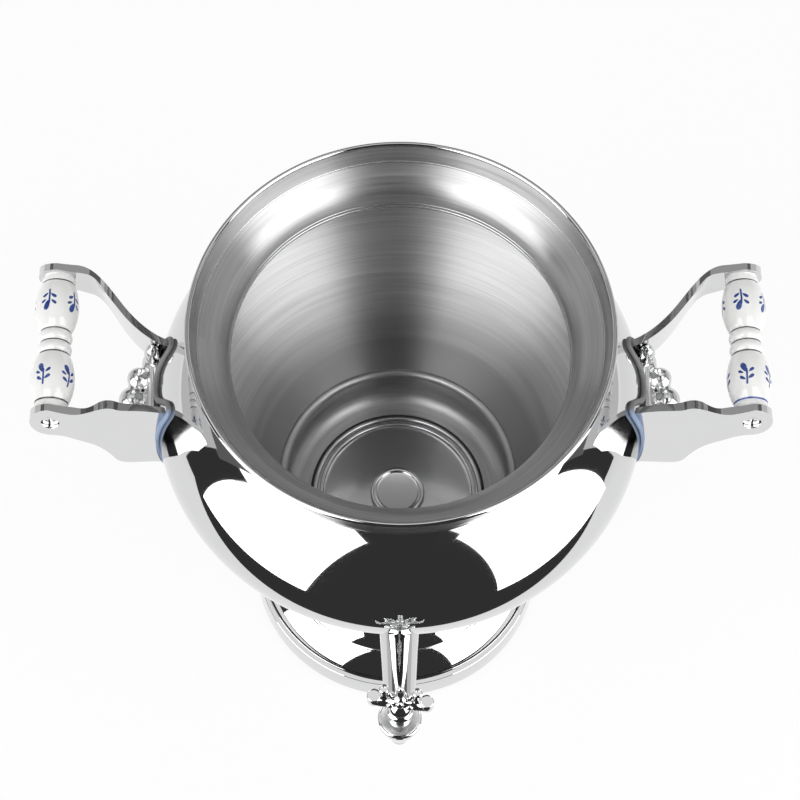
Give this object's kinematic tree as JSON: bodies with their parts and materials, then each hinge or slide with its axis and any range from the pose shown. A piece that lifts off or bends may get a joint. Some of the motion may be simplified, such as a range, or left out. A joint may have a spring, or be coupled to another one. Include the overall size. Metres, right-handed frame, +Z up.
{
  "type": "samovar",
  "caption": "Footed chrome samovar with an open flared mouth, wing-key tap at the front, porcelain-grip side handles and an electric heater in its foot.",
  "frame": {"origin": "on the table, in the middle of the rubber standing ring, under the vessel's axis", "axes": "+Z up along the vessel's axis, the tap points to -Y, the handles stand out along +X and -X"},
  "size_m": [0.3436, 0.2747, 0.294],
  "materials": {
    "chrome": "mirror polished; the vessel's inside is brushed round its axis",
    "brushed_steel": "brushed round its axis",
    "plain_steel": "plain",
    "aluminium": "as cast",
    "brass": "turned",
    "porcelain": "glossy white glaze with blue sprigs and thin grey lines",
    "silicone": "soft, slightly milky",
    "dark_rubber": "matt",
    "black_plastic": "fine grained",
    "pale_plastic": "matt"
  },
  "bodies": {
    "samovar": {"belly_shell": "chrome", "rim_collar": "brushed_steel", "sump_cup": "brushed_steel", "floor_seal": "dark_rubber", "heater_plate": "brushed_steel", "sensor_cap": "brushed_steel", "clamp_ring": "plain_steel", "heat_spreader": "aluminium", "heating_element": "plain_steel", "element_terminals": "plain_steel", "clamp_bridge": "plain_steel", "tie_rod": "plain_steel", "tie_washer": "plain_steel", "tie_nut": "plain_steel", "pedestal_foot": "chrome", "base_cover": "black_plastic", "standing_ring": "dark_rubber", "power_inlet": "black_plastic", "inlet_pins": "brass", "control_bracket": "plain_steel", "thermostat": "pale_plastic", "knob_bezel": "chrome", "tap_gasket": "silicone", "tap_rosette": "chrome", "tap_body": "chrome", "tap_wedge_washer": "silicone", "tap_lock_nut": "plain_steel", "tap_bonnet": "chrome", "right_yoke": "chrome", "right_gasket": "silicone", "right_grip": "porcelain", "right_tie_screw": "chrome", "right_tie_nut": "chrome", "right_base_screws": "plain_steel", "right_seal_washers": "silicone", "left_yoke": "chrome", "left_gasket": "silicone", "left_grip": "porcelain", "left_tie_screw": "chrome", "left_tie_nut": "chrome", "left_base_screws": "plain_steel", "left_seal_washers": "silicone"},
    "cock_key": {"tap_key": "chrome", "tap_plug": "brass", "tap_key_pin": "plain_steel"},
    "knob": {"temperature_knob": "black_plastic", "knob_shaft": "plain_steel"}
  },
  "joints": [
    {"name": "tap_turn", "type": "hinge", "parent": "samovar", "child": "cock_key", "pos_m": [0, -0.14501, 0.18], "axis": [0, 0, 1], "continuous": true},
    {"name": "knob_turn", "type": "hinge", "parent": "samovar", "child": "knob", "pos_m": [0, 0.06, 0.056], "axis": [0, -1, 0], "range_deg": [0, 270]}
  ]
}
